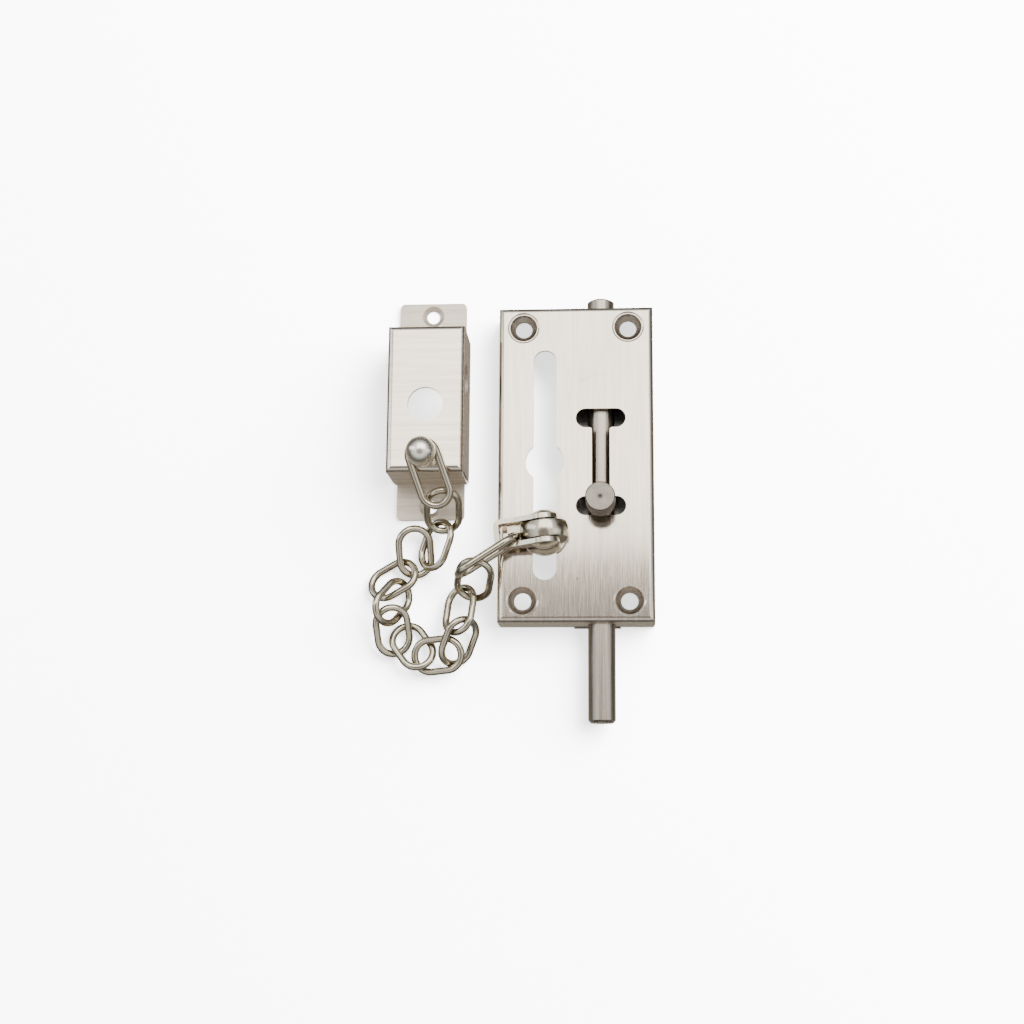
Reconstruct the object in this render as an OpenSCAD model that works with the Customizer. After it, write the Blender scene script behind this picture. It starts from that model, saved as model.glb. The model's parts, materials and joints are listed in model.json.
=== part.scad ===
// Door chain guard with a built-in slide bolt.
// A folded face plate carries the chain runner and the bolt; a folded keeper box
// carries the ball stud that holds the far end of the chain.
// The whole guard lies on its back: X across the plate, Y along it, +Z out of its face.
// Origin: centre of the plate's four screw holes, on the mounting plane.

/* [Face plate] */
// Width of the face plate
plate_w = 48; // [46:0.5:52]
// Length of the face plate
plate_l = 99.5; // [98:0.5:110]
// Height of the folded rim, mounting plane to face
plate_h = 12; // [12:0.5:14]
// Sheet thickness of plate and keeper
sheet_t = 1.2; // [1:0.1:1.4]
// Outside radius of the folds
fold_r = 1.8; // [1.6:0.1:2.4]

/* [Plate screw holes] */
// Screw spacing across the plate
screw_dx = 32.6; // [30:0.2:33]
// Screw spacing along the plate
screw_dy = 86.2; // [84:0.2:87]
// Diameter of the screw holes
screw_d = 5.2; // [4.5:0.1:5.4]
// Diameter of the pressed countersinks at the face
sink_d = 9; // [8:0.2:9.4]

/* [Chain slot] */
// Distance of the chain slot from the plate's centre line
slot_x = -9.5; // [-10.5:0.5:-9]
// Width of the chain slot
slot_w = 7.2; // [7:0.1:7.8]
// Upper end of the chain slot
slot_top = 35.7; // [30:0.1:36.5]
// Lower end of the chain slot
slot_bottom = -36.8; // [-37.5:0.1:-34]
// Diameter of the release hole in the chain slot
release_d = 12; // [11:0.5:13]

/* [Bolt] */
// Distance of the bolt from the plate's centre line
bolt_x = 7.7; // [7:0.1:8]
// Diameter of the bolt rod
bolt_d = 8.4; // [7.6:0.1:8.6]
// Height of the bolt's axis above the mounting plane
bolt_z = 5.5; // [5.3:0.1:5.6]
// Length of rod below the plate when locked
bolt_reach = 29.9; // [24:0.1:34]
// Travel from locked to open
bolt_travel = 27.7; // [20:0.1:28]
// Diameter of the knob
knob_d = 9; // [8:0.2:10]
// Length of the knob
knob_l = 9; // [7:0.5:11]

/* [Runner] */
// Place of the runner along the chain slot
runner_y = -22.5; // [-33:0.5:20]
// Diameter of the runner's round head
head_d = 15; // [14:0.5:15.5]
// Thickness of the head between the ears of the clevis
drum_t = 5; // [4.5:0.1:5.2]
// Turn of the clevis about the runner's shank
clevis_yaw = 6; // [0:1:8]
// Drop of the clevis about its pin
clevis_drop = 5; // [3:0.5:8]

/* [Chain] */
// Length of a chain link
link_l = 17; // [16:0.2:18]
// Width of a chain link
link_w = 12; // [11.6:0.2:12.4]
// Wire diameter of the chain links
link_d = 2.2; // [2:0.1:2.2]
// Length of the two long end links
long_l = 23; // [22:0.5:24]
// Width of the two long end links
long_w = 11.2; // [11:0.1:11.6]
// Wire diameter of the two long end links
long_d = 2.3; // [2:0.1:2.3]

/* [Keeper] */
// Width of the keeper box
keeper_w = 24; // [22:0.5:26]
// Length of the keeper box
keeper_l = 46.6; // [44:0.2:50]
// Height of the keeper box
keeper_h = 19; // [18:0.5:20]
// Length of the screw tab at the top
tab_top_l = 12.8; // [11:0.2:14]
// Length of the screw tab at the bottom
tab_bottom_l = 11.6; // [11:0.2:14]
// Width of the screw tabs
tab_w = 21.4; // [20:0.2:22]
// Diameter of the keeper's screw holes
tab_screw_d = 4.2; // [3.5:0.1:4.5]
// Diameter of the round hole in the keeper's face
window_d = 10.9; // [8:0.1:12]
// Diameter of the ball on the stud
ball_d = 9; // [8:0.5:10]

/* [Hidden] */
$fn = 64;
eps = 0.01;
cut = 1;

// Bolt and its channel
rod_r = bolt_d / 2;
bore_gap = 0.07;
rod_tip_y = -plate_l / 2 - bolt_reach;
rod_top_y = plate_l / 2 + 4.5;
rod_chamfer = 0.8;
rod_dome_h = 1.4;
cross_w = 6;
cross_l = 15.4;
neck_w = 5.5;
cross_y = bolt_travel / 2;
channel_t = 0.9;
channel_floor = 1;
channel_left = -0.9;
channel_right = 16.3;
channel_half_l = 36;
strip_right = 13.5;
strip_over = 0.5;
stem_r = 2.05;
stem_depth = 4;
saddle_gap = 0.06;
saddle_t = 0.8;
saddle_r = 2.7;
knob_start = 11.7;
knob_rim = 0.35;

// Pressed countersinks
dimple_drop = 2.2;
dimple_wall = 1;
dimple_lip = 0.5;

// Runner
button_r = 5;
button_t = 1.6;
button_gap = 0.3;
shank_r = 3.3;
rivet_r = 2;
spigot_r = 2.2;
head_gap = 0.3;
head_z = 15.5;
shoulder_z = 13.5;
pin_z = 18.6;
pin_r = 2;
pin_fit = 0.06;
ear_t = 1.5;
ear_gap = 0.4;
ear_r = 4.5;
bight_x = -14.9;
bight_w = 4.2;
bight_r = 2.2;
rivet_head_r = 4.2;
rivet_head_h = 1.5;
lug_end = -11;
lug_h = 4;

// Keeper
keeper_x = -46.1;
keeper_y = 19;
window_y = 17;
side_hole_r = 5.2;
side_hole_y = 26;
side_hole_z = 12.5;
tab_hole_inset = 4.3;
tab_corner_r = 1.5;
tab_sink_d = 7;
stud_y = 0;
neck_r = 2.9;
ball_z = 28;
stud_tail_r = 2;
stud_rivet_r = 2.4;
stud_rivet_h = 0.9;

// Where each link of the chain lies, from the runner to the keeper:
// [x, y, z of its middle, roll about its long axis, tip-down turn, heading]
LONG_AT_RUNNER = [-26.6, -30.4, 18, 91, 1, 33];
LINKS = [
    [-31.1, -36.4, 10.7, 6, -48, 74],
    [-35.9, -45.1, 6.3, -34, 14, 84],
    [-36.1, -54.8, 5.4, 40, -19, 68],
    [-42.6, -58.9, 4.6, 11, -10, 5],
    [-50.6, -56, 3.3, -11, -14, -53],
    [-56.7, -51.3, 4.6, 16, -24, 96],
    [-56.7, -42.6, 6.4, -41, -30, -125],
    [-57, -35.2, 3.2, 23, 2, -150],
    [-50.3, -26.6, 4.1, -13, 21, -87],
    [-43.6, -24.6, 5.2, 35, 6, -109],
    [-41.1, -14.7, 9.8, -7, 44, -93]
];
LONG_AT_KEEPER = [-44.4, -5.1, 20, 7, 21, -71];

function link_name(i) = str("chain_link_", i < 10 ? "0" : "", i);

// ---- shared shapes ----

// Flat-bottomed outline with two round upper corners, standing on y = 0
module fold_outline(w, h, r) {
    translate([-w / 2, 0]) square([w, h - r]);
    translate([-w / 2 + r, 0]) square([w - 2 * r, h]);
    for (s = [-1, 1]) translate([s * (w / 2 - r), h - r]) circle(r);
}

// Solid block whose four top edges are folded round
module fold_block(w, l, h, r) {
    intersection() {
        translate([0, l / 2, 0]) rotate([90, 0, 0]) linear_extrude(l) fold_outline(w, h, r);
        translate([-w / 2, 0, 0]) rotate([90, 0, 90]) linear_extrude(w) fold_outline(l, h, r);
    }
}

// Open-backed tray pressed from sheet, with slit corners
module folded_tray(w, l, h, t, r, slit) {
    slit_top = h - r - 0.3;
    difference() {
        fold_block(w, l, h, r);
        translate([0, 0, -cut])
            fold_block(w - 2 * t, l - 2 * t, h - t + cut, r - t);
        for (sx = [-1, 1]) for (sy = [-1, 1])
            translate([sx * (w / 2 - t / 2), sy * (l / 2 - t / 2), -cut])
                rotate([0, 0, sx * sy * 45])
                    translate([-2 * t, -slit / 2, 0]) cube([4 * t, slit, slit_top + cut]);
    }
}

// Outline of a slot along Y with round ends
module slot_outline(w, low, high) {
    translate([-w / 2, low + w / 2]) square([w, high - low - w]);
    translate([0, low + w / 2]) circle(w / 2);
    translate([0, high - w / 2]) circle(w / 2);
}

// Ring of round wire, drawn out straight along X
module wire_link(l, w, d) {
    straight = l - w;
    bend = (w - d) / 2;
    for (s = [-1, 1]) {
        translate([s * straight / 2, 0, 0]) rotate([0, 0, s > 0 ? -90 : 90])
            rotate_extrude(angle = 180) translate([bend, 0]) circle(d / 2, $fn = 32);
        translate([-straight / 2, s * bend, 0]) rotate([0, 90, 0])
            cylinder(h = straight, r = d / 2, $fn = 32);
    }
}

module laid_link(lay, l, w, d) {
    translate([lay[0], lay[1], lay[2]]) rotate([lay[3], lay[4], lay[5]]) wire_link(l, w, d);
}

// Spherical cap of radius r and height h, standing on z = 0
module dome(r, h) {
    ball_r = (r * r + h * h) / (2 * h);
    intersection() {
        cylinder(h = h + cut, r = r);
        translate([0, 0, h - ball_r]) sphere(ball_r);
    }
}

// ---- face plate ----

module screw_points() {
    for (sx = [-1, 1]) for (sy = [-1, 1])
        translate([sx * screw_dx / 2, sy * screw_dy / 2, 0]) children();
}

// Two cross slots joined by a straight one, with eased inside corners
module knob_slot_outline() {
    ease = 0.8;
    translate([bolt_x, 0]) {
        square([neck_w, 2 * cross_y], center = true);
        for (s = [-1, 1]) translate([0, s * cross_y]) {
            rotate([0, 0, 90]) slot_outline(cross_w, -cross_l / 2, cross_l / 2);
            for (e = [-1, 1])
                translate([e * neck_w / 2, -s * cross_w / 2]) difference() {
                    translate([e > 0 ? 0 : -ease, s > 0 ? -ease : 0]) square(ease);
                    translate([e * ease, -s * ease]) circle(ease);
                }
        }
    }
}

module face_plate() {
    under = plate_h - sheet_t;
    color([0.80, 0.78, 0.75]) difference() {
        union() {
            folded_tray(plate_w, plate_l, plate_h, sheet_t, fold_r, 0.4);
            screw_points() translate([0, 0, plate_h - dimple_drop - dimple_wall])
                cylinder(h = dimple_drop + dimple_wall - sheet_t / 2,
                         r1 = screw_d / 2 + dimple_wall, r2 = sink_d / 2 + dimple_wall);
        }
        screw_points() {
            translate([0, 0, under - 6]) cylinder(h = 10, r = screw_d / 2);
            translate([0, 0, plate_h - dimple_drop])
                cylinder(h = dimple_drop + eps, r1 = screw_d / 2, r2 = sink_d / 2);
            translate([0, 0, plate_h - 0.25]) cylinder(h = 1, r1 = sink_d / 2, r2 = sink_d / 2 + 2);
        }
        translate([0, 0, under - cut]) linear_extrude(sheet_t + 2 * cut) {
            translate([slot_x, 0]) slot_outline(slot_w, slot_bottom, slot_top);
            translate([slot_x, 0]) circle(release_d / 2);
            knob_slot_outline();
        }
        translate([bolt_x, plate_l, bolt_z]) rotate([90, 0, 0])
            cylinder(h = 2 * plate_l, r = rod_r + bore_gap);
        translate([channel_left - 0.1, -plate_l, -cut])
            cube([strip_right - channel_left + 0.2, 2 * plate_l, channel_floor + 0.1 + cut]);
    }
}

// U-shaped channel behind the bolt, on a long strip that runs out under both rims
module bolt_channel() {
    inner = channel_right - channel_left - 2 * channel_t;
    strip_l = plate_l + 2 * strip_over;
    color([0.45, 0.44, 0.42]) {
        difference() {
            translate([channel_left, -channel_half_l, 0])
                cube([channel_right - channel_left, 2 * channel_half_l, plate_h - sheet_t]);
            translate([channel_left + channel_t, -channel_half_l - cut, channel_floor])
                cube([inner, 2 * channel_half_l + 2 * cut, plate_h]);
        }
        translate([channel_left, -strip_l / 2, 0])
            cube([strip_right - channel_left, strip_l, channel_floor]);
    }
}

// ---- bolt ----

module bolt_rod() {
    body_l = rod_top_y - rod_dome_h - rod_tip_y - rod_chamfer;
    color([0.70, 0.67, 0.62]) translate([bolt_x, 0, bolt_z]) rotate([-90, 0, 0]) {
        translate([0, 0, rod_tip_y]) cylinder(h = rod_chamfer, r1 = rod_r - rod_chamfer, r2 = rod_r);
        translate([0, 0, rod_tip_y + rod_chamfer]) cylinder(h = body_l, r = rod_r);
        translate([0, 0, rod_top_y - rod_dome_h]) dome(rod_r, rod_dome_h);
    }
}

module at_knob() {
    translate([bolt_x, -cross_y, bolt_z]) children();
}

// Stem on a small saddle that hugs the rod
module knob_stem() {
    hug_r = rod_r + saddle_gap;
    color([0.55, 0.52, 0.47]) at_knob() difference() {
        union() {
            translate([0, 0, 2]) cylinder(h = knob_start + stem_depth - 2, r = stem_r);
            intersection() {
                rotate([90, 0, 0]) cylinder(h = 8, r = hug_r + saddle_t, center = true);
                cylinder(h = 8, r = saddle_r);
            }
        }
        rotate([90, 0, 0]) cylinder(h = 12, r = hug_r, center = true);
    }
}

module bolt_knob() {
    r = knob_d / 2;
    color([0.50, 0.47, 0.42]) at_knob() translate([0, 0, knob_start]) difference() {
        union() {
            cylinder(h = knob_rim, r1 = r - knob_rim, r2 = r);
            translate([0, 0, knob_rim]) cylinder(h = knob_l - 2 * knob_rim, r = r);
            translate([0, 0, knob_l - knob_rim]) cylinder(h = knob_rim, r1 = r, r2 = r - knob_rim);
        }
        translate([0, 0, -cut]) cylinder(h = stem_depth + cut + 0.2, r = stem_r + 0.02);
        translate([0, 0, knob_l - 0.3]) cylinder(h = 1, r1 = 0.1, r2 = 1.1);
    }
}

// ---- chain runner ----

module at_runner() {
    translate([slot_x, runner_y, 0]) rotate([0, 0, clevis_yaw]) children();
}

module runner_shank() {
    under = plate_h - sheet_t;
    foot = under - button_gap;
    color([0.68, 0.66, 0.62]) translate([slot_x, runner_y, 0]) {
        translate([0, 0, foot]) cylinder(h = plate_h + head_gap - 0.15 - foot, r = shank_r);
        translate([0, 0, foot - button_t]) cylinder(h = button_t + eps, r = rivet_r);
        translate([0, 0, foot - button_t]) mirror([0, 0, 1]) dome(rivet_r + 0.8, 0.7);
        translate([0, 0, plate_h]) cylinder(h = 4.2, r = spigot_r);
    }
}

module runner_button() {
    foot = plate_h - sheet_t - button_gap;
    color([0.62, 0.60, 0.57]) translate([slot_x, runner_y, foot - button_t]) difference() {
        cylinder(h = button_t, r = button_r);
        translate([0, 0, -cut]) cylinder(h = button_t + 2 * cut, r = rivet_r + 0.02);
    }
}

// Ball head, flattened on both sides for the clevis, with a notched lug at its back
module runner_head() {
    r = head_d / 2;
    base_z = plate_h + head_gap;
    color([0.78, 0.75, 0.66]) at_runner() difference() {
        union() {
            difference() {
                translate([0, 0, head_z]) sphere(r);
                translate([-r, -r, -cut]) cube([2 * r, 2 * r, base_z + cut]);
                for (s = [-1, 1])
                    translate([-r - cut, s > 0 ? drum_t / 2 : -r - drum_t / 2, shoulder_z])
                        cube([2 * r + 2 * cut, r, 2 * r]);
            }
            translate([lug_end, -0.1, shoulder_z + 0.5]) cube([6, 2.3, lug_h]);
        }
        translate([0, 0, base_z - cut]) cylinder(h = 4.2 + cut, r = spigot_r + pin_fit);
        translate([0, r, pin_z]) rotate([90, 0, 0]) cylinder(h = 2 * r, r = pin_r + pin_fit);
        translate([-9.4, -1.9, base_z]) cylinder(h = 2 * r, r = 2.1);
    }
}

module at_pin() {
    at_runner() translate([0, 0, pin_z]) rotate([0, -clevis_drop, 0]) children();
}

// Strap bent into a U, with a round eye at the end of each ear
module clevis_strap() {
    inner = drum_t / 2 + ear_gap;
    outer = inner + ear_t;
    taper_x = -8.5;
    color([0.76, 0.73, 0.65]) at_pin() difference() {
        intersection() {
            translate([0, 0, -ear_r]) linear_extrude(2 * ear_r) difference() {
                union() {
                    translate([bight_x + bight_r, -outer]) square([ear_r - bight_x - bight_r, 2 * outer]);
                    translate([bight_x, -outer + bight_r]) square([bight_r, 2 * outer - 2 * bight_r]);
                    for (s = [-1, 1]) translate([bight_x + bight_r, s * (outer - bight_r)]) circle(bight_r);
                }
                translate([bight_x + bight_r, -inner]) square([ear_r - bight_x, 2 * inner]);
                translate([bight_x + ear_t, -outer + bight_r])
                    square([bight_r, 2 * outer - 2 * bight_r]);
                for (s = [-1, 1])
                    translate([bight_x + bight_r, s * (outer - bight_r)]) circle(bight_r - ear_t);
            }
            translate([0, outer, 0]) rotate([90, 0, 0]) linear_extrude(2 * outer) {
                circle(ear_r);
                polygon([
                    [0, ear_r], [taper_x, bight_w / 2], [bight_x, bight_w / 2],
                    [bight_x, -bight_w / 2], [taper_x, -bight_w / 2], [0, -ear_r]
                ]);
            }
        }
        translate([0, 2 * outer, 0]) rotate([90, 0, 0]) cylinder(h = 4 * outer, r = pin_r + 0.02);
    }
}

// Pin through the ears, headed at both ends
module clevis_pin() {
    outer = drum_t / 2 + ear_gap + ear_t;
    color([0.80, 0.76, 0.68]) at_pin() {
        translate([0, outer, 0]) rotate([90, 0, 0]) cylinder(h = 2 * outer, r = pin_r);
        for (s = [-1, 1]) translate([0, s * outer, 0]) rotate([-s * 90, 0, 0])
            dome(rivet_head_r, rivet_head_h);
    }
}

// ---- chain ----

module long_link_runner() {
    color([0.72, 0.69, 0.60]) laid_link(LONG_AT_RUNNER, long_l, long_w, long_d);
}

module chain_link(i) {
    color([0.74, 0.71, 0.62]) laid_link(LINKS[i - 1], link_l, link_w, link_d);
}

module long_link_keeper() {
    color([0.72, 0.69, 0.60]) laid_link(LONG_AT_KEEPER, long_l, long_w, long_d);
}

// ---- keeper ----

module keeper_tab(l) {
    r = tab_corner_r;
    difference() {
        union() {
            translate([-tab_w / 2, -sheet_t]) square([tab_w, l + sheet_t - r]);
            translate([-tab_w / 2 + r, 0]) square([tab_w - 2 * r, l]);
            for (s = [-1, 1]) translate([s * (tab_w / 2 - r), l - r]) circle(r);
        }
        translate([0, l - tab_hole_inset]) circle(tab_screw_d / 2);
    }
}

module keeper_box() {
    color([0.82, 0.80, 0.77]) translate([keeper_x, keeper_y, 0]) difference() {
        union() {
            folded_tray(keeper_w, keeper_l, keeper_h, sheet_t, fold_r, 0.7);
            for (end = [[1, tab_top_l], [-1, tab_bottom_l]])
                translate([0, end[0] * keeper_l / 2, 0]) rotate([0, 0, end[0] > 0 ? 0 : 180])
                    linear_extrude(sheet_t) keeper_tab(end[1]);
        }
        for (end = [[1, tab_top_l], [-1, tab_bottom_l]])
            translate([0, end[0] * (keeper_l / 2 + end[1] - tab_hole_inset), 0.3])
                cylinder(h = sheet_t - 0.3 + eps, r1 = tab_screw_d / 2, r2 = tab_sink_d / 2);
        translate([0, window_y - keeper_y, keeper_h - 2 * sheet_t])
            cylinder(h = 3 * sheet_t, r = window_d / 2);
        translate([-keeper_w, side_hole_y - keeper_y, side_hole_z]) rotate([0, 90, 0])
            cylinder(h = 2 * keeper_w, r = side_hole_r);
        translate([0, stud_y - keeper_y, keeper_h - 2 * sheet_t])
            cylinder(h = 3 * sheet_t, r = stud_tail_r + 0.02);
    }
}

// Ball on a neck, riveted through the keeper's face
module ball_stud() {
    under = keeper_h - sheet_t;
    color([0.80, 0.77, 0.68]) translate([keeper_x, stud_y, 0]) {
        translate([0, 0, ball_z]) sphere(ball_d / 2);
        translate([0, 0, keeper_h]) cylinder(h = ball_z - keeper_h, r = neck_r);
        translate([0, 0, under - 0.2]) cylinder(h = sheet_t + 0.4, r = stud_tail_r);
        translate([0, 0, under - eps]) mirror([0, 0, 1]) dome(stud_rivet_r, stud_rivet_h);
    }
}

face_plate();
bolt_channel();
bolt_rod();
knob_stem();
bolt_knob();
runner_shank();
runner_button();
runner_head();
clevis_strap();
clevis_pin();
long_link_runner();
for (i = [1 : len(LINKS)])
    chain_link(i);
long_link_keeper();
keeper_box();
ball_stud();
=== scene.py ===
import json
import math

import bpy
from mathutils import Euler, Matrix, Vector


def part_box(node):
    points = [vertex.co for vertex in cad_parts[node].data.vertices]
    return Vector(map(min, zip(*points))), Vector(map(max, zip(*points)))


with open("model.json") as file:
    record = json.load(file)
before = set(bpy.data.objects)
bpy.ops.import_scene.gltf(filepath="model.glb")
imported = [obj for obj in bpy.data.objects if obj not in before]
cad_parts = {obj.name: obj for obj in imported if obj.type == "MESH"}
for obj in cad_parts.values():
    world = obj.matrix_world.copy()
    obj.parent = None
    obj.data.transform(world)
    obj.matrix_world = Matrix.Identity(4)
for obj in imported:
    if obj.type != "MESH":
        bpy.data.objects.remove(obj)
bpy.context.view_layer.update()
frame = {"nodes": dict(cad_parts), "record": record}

MM = 0.001

# places on the object that its finishes need, from the frame, in metres
knob_low, knob_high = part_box("bolt_knob")
KNOB_X = (knob_low[0] + knob_high[0]) / 2
KNOB_Y = (knob_low[1] + knob_high[1]) / 2
PLATE_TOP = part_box("face_plate")[1][2]
KEEPER_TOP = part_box("keeper_box")[1][2]
mounts = {m["name"]: m for m in frame["record"]["mounts"]}
SCREW_X = mounts["plate_screws"]["dims"]["spacing_x_mm"] / 2 * MM
SCREW_Y = mounts["plate_screws"]["dims"]["spacing_y_mm"] / 2 * MM


# ---------------------------------------------------------------- node helpers
class Mat:
    """A small helper round one material's node tree."""

    def __init__(self, name):
        self.mat = bpy.data.materials.new(name)
        self.mat.use_nodes = True
        self.tree = self.mat.node_tree
        self.bsdf = self.tree.nodes["Principled BSDF"]
        self.coord = self.tree.nodes.new("ShaderNodeTexCoord").outputs["Object"]

    def add(self, kind, **props):
        n = self.tree.nodes.new(kind)
        for k, v in props.items():
            setattr(n, k, v)
        return n

    def link(self, a, b):
        self.tree.links.new(a, b)

    def value(self, socket, x):
        """Sets a socket to a number, or joins it to another socket."""
        if isinstance(x, bpy.types.NodeSocket):
            self.link(x, socket)
        else:
            socket.default_value = x

    def math(self, op, a, b=0.0):
        n = self.add("ShaderNodeMath", operation=op)
        self.value(n.inputs[0], a)
        self.value(n.inputs[1], b)
        return n.outputs[0]

    def smooth(self, x, lo, hi, a=0.0, b=1.0):
        """Goes smoothly from a to b while x goes from lo to hi."""
        n = self.add("ShaderNodeMapRange", interpolation_type="SMOOTHSTEP")
        for i, v in enumerate((x, lo, hi, a, b)):
            self.value(n.inputs[i], v)
        return n.outputs[0]

    def noise(self, scale, detail=2.0, rough=0.5):
        """Noise over the object's own metres; scale is how often it repeats along X, Y and Z."""
        mapping = self.add("ShaderNodeMapping")
        self.link(self.coord, mapping.inputs["Vector"])
        mapping.inputs["Scale"].default_value = scale
        n = self.add("ShaderNodeTexNoise")
        self.link(mapping.outputs[0], n.inputs["Vector"])
        n.inputs["Scale"].default_value = 1.0
        n.inputs["Detail"].default_value = detail
        n.inputs["Roughness"].default_value = rough
        return n.outputs["Fac"]

    def xyz(self):
        n = self.add("ShaderNodeSeparateXYZ")
        self.link(self.coord, n.inputs[0])
        return n.outputs

    def hypot(self, dx, dy):
        return self.math("SQRT", self.math("ADD", self.math("MULTIPLY", dx, dx),
                                           self.math("MULTIPLY", dy, dy)))

    def radius(self, x0, y0):
        """Distance from a line that stands on the mounting plane at x0, y0."""
        p = self.xyz()
        return self.hypot(self.math("SUBTRACT", p[0], x0), self.math("SUBTRACT", p[1], y0))

    def mix(self, fac, a, b):
        n = self.add("ShaderNodeMix", data_type="RGBA")
        self.value(n.inputs[0], fac)
        for socket, x in ((n.inputs[6], a), (n.inputs[7], b)):
            self.value(socket, (*x, 1.0) if isinstance(x, tuple) else x)
        return n.outputs[2]

    def bump(self, height, distance, strength, normal=None):
        n = self.add("ShaderNodeBump")
        self.link(height, n.inputs["Height"])
        n.inputs["Distance"].default_value = distance
        n.inputs["Strength"].default_value = strength
        if normal is not None:
            self.link(normal, n.inputs["Normal"])
        return n.outputs[0]

    def round_edges(self, radius):
        n = self.add("ShaderNodeBevel", samples=6)
        n.inputs["Radius"].default_value = radius
        return n.outputs[0]

    def metal(self, color, rough, normal):
        """Ends the material as a metal. rough is a number or a socket."""
        self.link(color, self.bsdf.inputs["Base Color"])
        self.bsdf.inputs["Metallic"].default_value = 1.0
        self.value(self.bsdf.inputs["Roughness"], rough)
        self.link(normal, self.bsdf.inputs["Normal"])
        return self.mat


# ---------------------------------------------------------------- finishes
# noise repeats per metre across the brushing, along it and through the sheet
GRAIN_ACROSS, GRAIN_ALONG, GRAIN_THROUGH = 5200, 130, 2600
STREAK_ACROSS, STREAK_ALONG, STREAK_THROUGH = 900, 26, 500
SHEET_DARK, SHEET_LIGHT = (0.56, 0.50, 0.42), (0.80, 0.725, 0.62)
SHEET_CLOUD = (0.52, 0.47, 0.41)
SHEET_GLOSS, SHEET_DULL = 0.09, 0.16
# below the face, from FOLD_START to FOLD_END, the sheet grows duller by FOLD_DULL
FOLD_START, FOLD_END, FOLD_DULL = 0.0002, 0.0022, 0.38
# painted shade: the countersinks are darkened with this colour, fading out between these two radii
# round each screw
SINK_SHADE_COLOR = (0.22, 0.20, 0.18)
SINK_SHADE_IN, SINK_SHADE_OUT = 0.0040, 0.0045
SINK_SHADE_AMOUNT = 0.45
ARC_COLOR, ARC_WIDTH = (0.36, 0.34, 0.32), 0.0007
SPECK_COLOR, SPECK_AMOUNT = (0.12, 0.11, 0.10), 0.75
# rubbed arcs on the plate: centre x, centre y, radius, strength
ARCS = ((0.0075, 0.0179, 0.0098, 0.30), (-0.0005, -0.0235, 0.0085, 0.18))
# specks on the plate: x, y, radius
SPECKS = ((0.0005, -0.0365, 0.00035), (-0.0035, -0.0305, 0.00022))
# painted shade: a brownish darkening in the nooks of polished pieces, where the pieces shade each
# other
NOOK_SHADE_REACH = 0.0022
NOOK_SHADE_COLOR, NOOK_SHADE_AMOUNT = (0.20, 0.17, 0.12), 0.6
ROD_DARK, ROD_LIGHT = (0.30, 0.27, 0.225), (0.52, 0.475, 0.405)
ROD_CLOUD = (0.30, 0.27, 0.24)
KNOB_DARK, KNOB_LIGHT = (0.22, 0.205, 0.175), (0.38, 0.355, 0.31)
KNOB_CLOUD = (0.22, 0.205, 0.185)
KNOB_EDGE = 0.00025
# turning marks, as waves per metre outward on the knob's end and up its side
RING_WAVES, TURN_WAVES = 9500.0, 14000.0
# the dark mark of the lathe's centre
CENTRE_IN, CENTRE_OUT = 0.0005, 0.0012
CENTRE_COLOR, CENTRE_AMOUNT = (0.06, 0.055, 0.05), 0.7
STRIP_DARK, STRIP_LIGHT = (0.20, 0.195, 0.185), (0.36, 0.35, 0.335)
STRIP_ROUGH = 0.42


def plate_marks(m, color):
    """Countersinks darkened with painted shade, faint rubbed arcs and two specks."""
    p = m.xyz()
    dx = m.math("SUBTRACT", m.math("ABSOLUTE", p[0]), SCREW_X)
    dy = m.math("SUBTRACT", m.math("ABSOLUTE", p[1]), SCREW_Y)
    # painted shade darkens the countersink cones
    color = m.mix(m.smooth(m.hypot(dx, dy), SINK_SHADE_IN, SINK_SHADE_OUT, SINK_SHADE_AMOUNT, 0.0), color, SINK_SHADE_COLOR)
    for cx, cy, r, amount in ARCS:
        d = m.math("ABSOLUTE", m.math("SUBTRACT", m.radius(cx, cy), r))
        ring = m.smooth(d, 0.0, ARC_WIDTH, 1.0, 0.0)
        broken = m.smooth(m.noise((160, 160, 160)), 0.42, 0.62)
        fac = m.math("MULTIPLY", m.math("MULTIPLY", ring, broken), amount)
        color = m.mix(fac, color, ARC_COLOR)
    for cx, cy, r in SPECKS:
        speck = m.smooth(m.radius(cx, cy), r * 0.6, r, SPECK_AMOUNT, 0.0)
        color = m.mix(speck, color, SPECK_COLOR)
    return color


def brushed(along_y, across, along, through):
    """Noise scale that is drawn out along Y or along X."""
    return (across, along, through) if along_y else (along, across, through)


def sheet_steel(name, along_y, marks, top):
    """Satin sheet, brushed along Y or along X. top is the height of its face."""
    m = Mat(name)
    grain = m.noise(brushed(along_y, GRAIN_ACROSS, GRAIN_ALONG, GRAIN_THROUGH), 3.0, 0.6)
    streak = m.noise(brushed(along_y, STREAK_ACROSS, STREAK_ALONG, STREAK_THROUGH))
    cloud = m.noise((38, 30, 30), 3.0, 0.55)
    tone = m.math("ADD", m.math("MULTIPLY", grain, 0.55), m.math("MULTIPLY", streak, 0.45))
    color = m.mix(m.smooth(tone, 0.3, 0.7), SHEET_DARK, SHEET_LIGHT)
    color = m.mix(m.math("MULTIPLY", m.smooth(cloud, 0.5, 0.75), 0.25), color, SHEET_CLOUD)
    if marks:
        color = plate_marks(m, color)
    # the folds and walls are duller than the face
    rough = m.smooth(grain, 0.25, 0.75, SHEET_GLOSS, SHEET_DULL)
    fold = m.smooth(m.xyz()[2], top - FOLD_END, top - FOLD_START, 1.0, 0.0)
    rough = m.math("ADD", rough, m.math("MULTIPLY", fold, FOLD_DULL))
    return m.metal(color, rough, m.bump(grain, 0.00001, 0.25))


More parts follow.
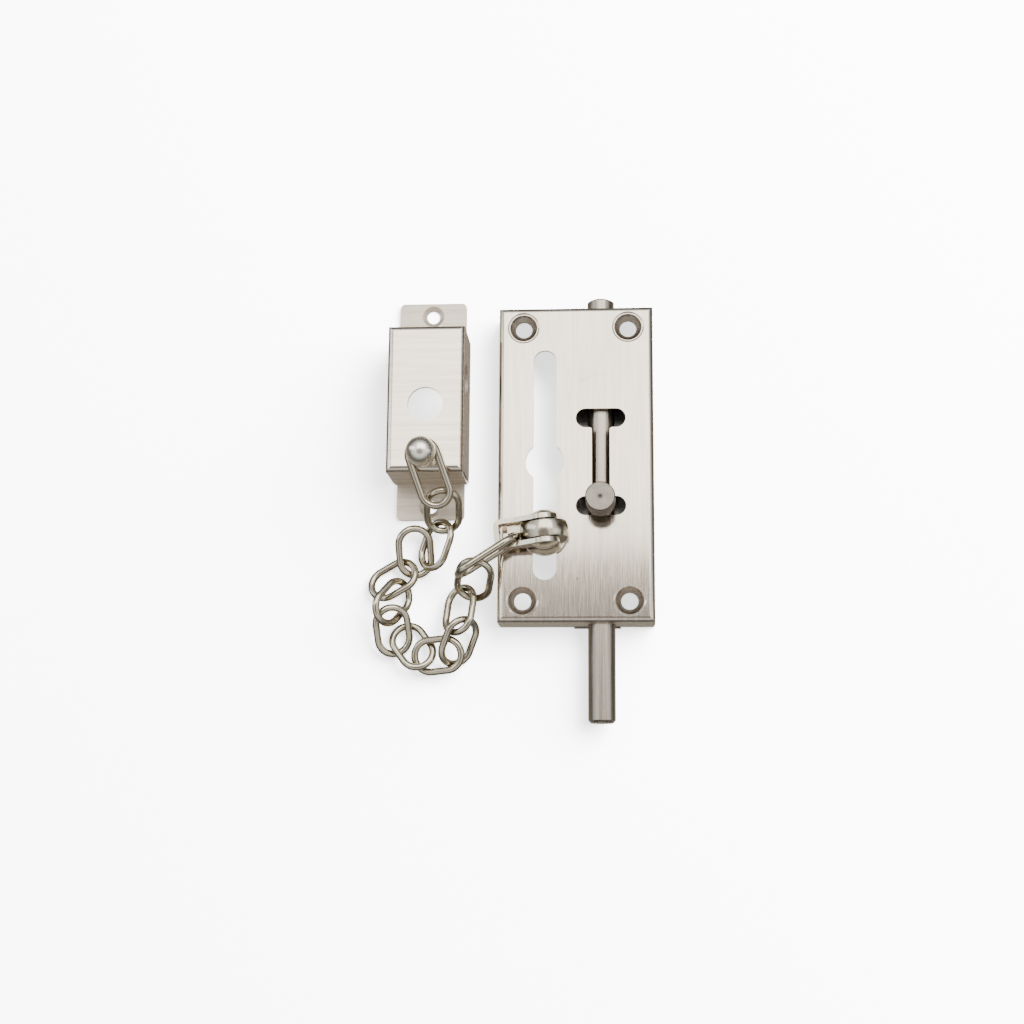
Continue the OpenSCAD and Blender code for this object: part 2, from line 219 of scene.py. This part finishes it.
def nickel(name, tint, rough, edge=0.0):
    """Polished plate with a faintly uneven gloss. edge rounds the sharp edges off."""
    m = Mat(name)
    wave = m.noise((260, 260, 260), 3.0, 0.55)
    fine = m.noise((1700, 1700, 1700), 3.0, 0.6)
    dark = tuple(c * 0.80 for c in tint)
    color = m.mix(m.smooth(wave, 0.45, 0.75, 0.0, 0.5), tint, dark)
    gloss = m.smooth(fine, 0.3, 0.7, rough * 0.8, rough * 1.35)
    # painted shade: ambient occlusion darkens the nooks brownish
    nook_shade = m.add("ShaderNodeAmbientOcclusion", samples=6)
    nook_shade.inputs["Distance"].default_value = NOOK_SHADE_REACH
    color = m.mix(m.smooth(nook_shade.outputs["AO"], 0.35, 0.9, NOOK_SHADE_AMOUNT, 0.0), color, NOOK_SHADE_COLOR)
    base = m.round_edges(edge) if edge else None
    return m.metal(color, gloss, m.bump(wave, 0.00006, 0.35, base))


def drawn_rod(name):
    """Bright rod with fine lines along Y."""
    m = Mat(name)
    lines = m.noise((2600, 22, 2600), 3.0, 0.6)
    cloud = m.noise((120, 40, 120), 3.0)
    color = m.mix(m.smooth(lines, 0.3, 0.7), ROD_DARK, ROD_LIGHT)
    color = m.mix(m.smooth(cloud, 0.5, 0.8, 0.0, 0.35), color, ROD_CLOUD)
    rough = m.smooth(lines, 0.3, 0.7, 0.22, 0.38)
    return m.metal(color, rough, m.bump(lines, 0.00002, 0.5))


def turned(name):
    """Turned steel, with rings round the knob's axis and fine lines round its side."""
    m = Mat(name)
    r = m.radius(KNOB_X, KNOB_Y)
    z = m.xyz()[2]
    wobble = m.noise((500, 500, 500))
    outward = m.math("MULTIPLY", r, RING_WAVES)
    upward = m.math("MULTIPLY", z, TURN_WAVES)
    rings = m.math("SINE", m.math("ADD", outward, m.math("MULTIPLY", wobble, 2.0)))
    turns = m.math("SINE", m.math("ADD", upward, m.math("MULTIPLY", wobble, 4.0)))
    both = m.math("ADD", m.math("MULTIPLY", rings, 0.5), m.math("MULTIPLY", turns, 0.5))
    cloud = m.noise((240, 240, 240), 4.0, 0.6)
    color = m.mix(m.smooth(both, -0.8, 0.8), KNOB_DARK, KNOB_LIGHT)
    color = m.mix(m.smooth(cloud, 0.48, 0.75, 0.0, 0.6), color, KNOB_CLOUD)
    color = m.mix(m.smooth(r, CENTRE_IN, CENTRE_OUT, CENTRE_AMOUNT, 0.0), color, CENTRE_COLOR)
    rough = m.smooth(cloud, 0.3, 0.7, 0.26, 0.42)
    return m.metal(color, rough, m.bump(both, 0.00002, 0.5, m.round_edges(KNOB_EDGE)))


def strip_steel(name):
    """Plain dark strip."""
    m = Mat(name)
    cloud = m.noise((200, 90, 200), 4.0, 0.6)
    color = m.mix(m.smooth(cloud, 0.35, 0.7), STRIP_DARK, STRIP_LIGHT)
    return m.metal(color, STRIP_ROUGH, m.bump(cloud, 0.00003, 0.4))


plate_mat = sheet_steel("satin_plate", True, True, PLATE_TOP)
keeper_mat = sheet_steel("satin_keeper", False, False, KEEPER_TOP)
chain_mat = nickel("chain_nickel", (0.53, 0.485, 0.375), 0.10)
head_mat = nickel("nickel", (0.60, 0.555, 0.45), 0.17, 0.0002)
ball_mat = nickel("ball_nickel", (0.92, 0.88, 0.76), 0.22)
rod_mat = drawn_rod("drawn_steel")
knob_mat = turned("turned_steel")
strip_mat = strip_steel("channel_steel")

# every other node is a piece of the chain
FINISH = {
    "face_plate": plate_mat, "keeper_box": keeper_mat,
    "bolt_channel": strip_mat, "runner_button": strip_mat,
    "bolt_rod": rod_mat, "knob_stem": rod_mat, "runner_shank": rod_mat,
    "bolt_knob": knob_mat,
    "runner_head": head_mat, "clevis_strap": head_mat, "clevis_pin": head_mat,
    "ball_stud": ball_mat,
}

for name, o in frame["nodes"].items():
    mat = FINISH.get(name, chain_mat)
    if not o.material_slots:
        o.data.materials.append(mat)
    for s in o.material_slots:
        s.material = mat


# ---------------------------------------------------------------- floor
FLOOR_WHITE = (0.93, 0.93, 0.93, 1.0)
FLOOR_GLOW = 1.9
FLOOR_SIZE = 6.0
FLOOR_GAP = 0.0002

floor_mat = bpy.data.materials.new("floor_white")
floor_mat.use_nodes = True
floor_bsdf = floor_mat.node_tree.nodes["Principled BSDF"]
floor_bsdf.inputs["Base Color"].default_value = FLOOR_WHITE
floor_bsdf.inputs["Roughness"].default_value = 0.9
floor_bsdf.inputs["Specular IOR Level"].default_value = 0.1
floor_bsdf.inputs["Emission Color"].default_value = FLOOR_WHITE
floor_bsdf.inputs["Emission Strength"].default_value = FLOOR_GLOW

bpy.ops.mesh.primitive_plane_add(size=FLOOR_SIZE, location=(0, 0, -FLOOR_GAP))
floor = bpy.context.object
floor.name = "floor"
floor.data.materials.append(floor_mat)
# the metal mirrors the dark lower half of the room instead of the floor
floor.visible_glossy = False


# ---------------------------------------------------------------- light
def soft_box(name, centre, aim, size_x, size_y, radiance, color, in_metal=True):
    """A rectangular soft light. in_metal: whether polished pieces mirror it."""
    data = bpy.data.lights.new(name, "AREA")
    data.shape = "RECTANGLE"
    data.size, data.size_y = size_x, size_y
    data.energy = radiance * math.pi * size_x * size_y
    data.color = color
    o = bpy.data.objects.new(name, data)
    bpy.context.scene.collection.objects.link(o)
    o.location = centre
    o.rotation_euler = (Vector(aim) - Vector(centre)).to_track_quat("-Z", "Y").to_euler()
    o.visible_glossy = in_metal


soft_box("key", centre=(0.14, 0.38, 0.62), aim=(0.14, 0.379, 0.0), size_x=0.80, size_y=0.60,
         radiance=3.1, color=(1.0, 0.965, 0.91))
soft_box("side", centre=(0.62, -0.05, 0.30), aim=(0.0, 0.0, 0.0), size_x=0.22, size_y=0.5,
         radiance=0.9, color=(1.0, 0.99, 0.97))
soft_box("rim", centre=(-0.60, 0.15, 0.34), aim=(-0.02, 0.0, 0.0), size_x=0.20, size_y=0.6,
         radiance=2.0, color=(0.90, 0.95, 1.0))
soft_box("floor_light", centre=(0.95, 0.62, 0.95), aim=(0.0, 0.0, 0.0), size_x=1.6, size_y=1.6,
         radiance=48.0, color=(1, 1, 1), in_metal=False)

# the room, as colours from straight down (0) to straight up (1)
ROOM = (
    (0.0, (0.55, 0.52, 0.46)),
    (0.25, (0.30, 0.28, 0.24)),
    (0.45, (0.08, 0.073, 0.065)),
    (0.60, (0.24, 0.245, 0.26)),
    (0.74, (0.9, 0.9, 0.92)),
    (1.0, (1.6, 1.54, 1.46)),
)
# the dim patch overhead: the cosines between which it fades out, round its middle
PATCH_MIDDLE = (0.0, -0.26, 0.966)
PATCH_OUT, PATCH_IN = 0.885, 0.925
PATCH_COLOR = (0.40, 0.36, 0.355, 1.0)

world = bpy.data.worlds.new("studio")
world.use_nodes = True
bpy.context.scene.world = world
tree = world.node_tree
background = tree.nodes["Background"]
direction = tree.nodes.new("ShaderNodeTexCoord").outputs["Generated"]

split = tree.nodes.new("ShaderNodeSeparateXYZ")
tree.links.new(direction, split.inputs[0])
height = tree.nodes.new("ShaderNodeMapRange")
height.inputs["From Min"].default_value = -1.0
tree.links.new(split.outputs["Z"], height.inputs["Value"])
ramp = tree.nodes.new("ShaderNodeValToRGB")
tree.links.new(height.outputs[0], ramp.inputs[0])
elements = ramp.color_ramp.elements
elements[0].position, elements[1].position = ROOM[0][0], ROOM[-1][0]
for place, _ in ROOM[1:-1]:
    elements.new(place)
for element, (_, color) in zip(elements, ROOM):
    element.color = (*color, 1.0)

facing = tree.nodes.new("ShaderNodeVectorMath")
facing.operation = "DOT_PRODUCT"
facing.inputs[1].default_value = Vector(PATCH_MIDDLE).normalized()
tree.links.new(direction, facing.inputs[0])
patch = tree.nodes.new("ShaderNodeMapRange")
patch.inputs["From Min"].default_value = PATCH_OUT
patch.inputs["From Max"].default_value = PATCH_IN
tree.links.new(facing.outputs["Value"], patch.inputs["Value"])
dim = tree.nodes.new("ShaderNodeMix")
dim.data_type = "RGBA"
dim.inputs[7].default_value = PATCH_COLOR
tree.links.new(patch.outputs[0], dim.inputs[0])
tree.links.new(ramp.outputs[0], dim.inputs[6])
tree.links.new(dim.outputs[2], background.inputs["Color"])

# ---------------------------------------------------------------- camera
# above the guard and a little past its bolt tip, looking down: its place in mm and its turn in radians
CAMERA_PLACE = (16.68, -117.47, 512.78)
CAMERA_TURN = (0.2005, 0.0708, 0.0071)
CAMERA_LENS, CAMERA_SENSOR = 58.73, 36.0

camera_data = bpy.data.cameras.new("camera")
camera_data.lens = CAMERA_LENS
camera_data.sensor_width = CAMERA_SENSOR
camera_data.clip_start, camera_data.clip_end = 0.01, 20.0
camera = bpy.data.objects.new("camera", camera_data)
camera.location = Vector(CAMERA_PLACE) * MM
camera.rotation_euler = Euler(CAMERA_TURN, "XYZ")
bpy.context.scene.collection.objects.link(camera)
bpy.context.scene.camera = camera
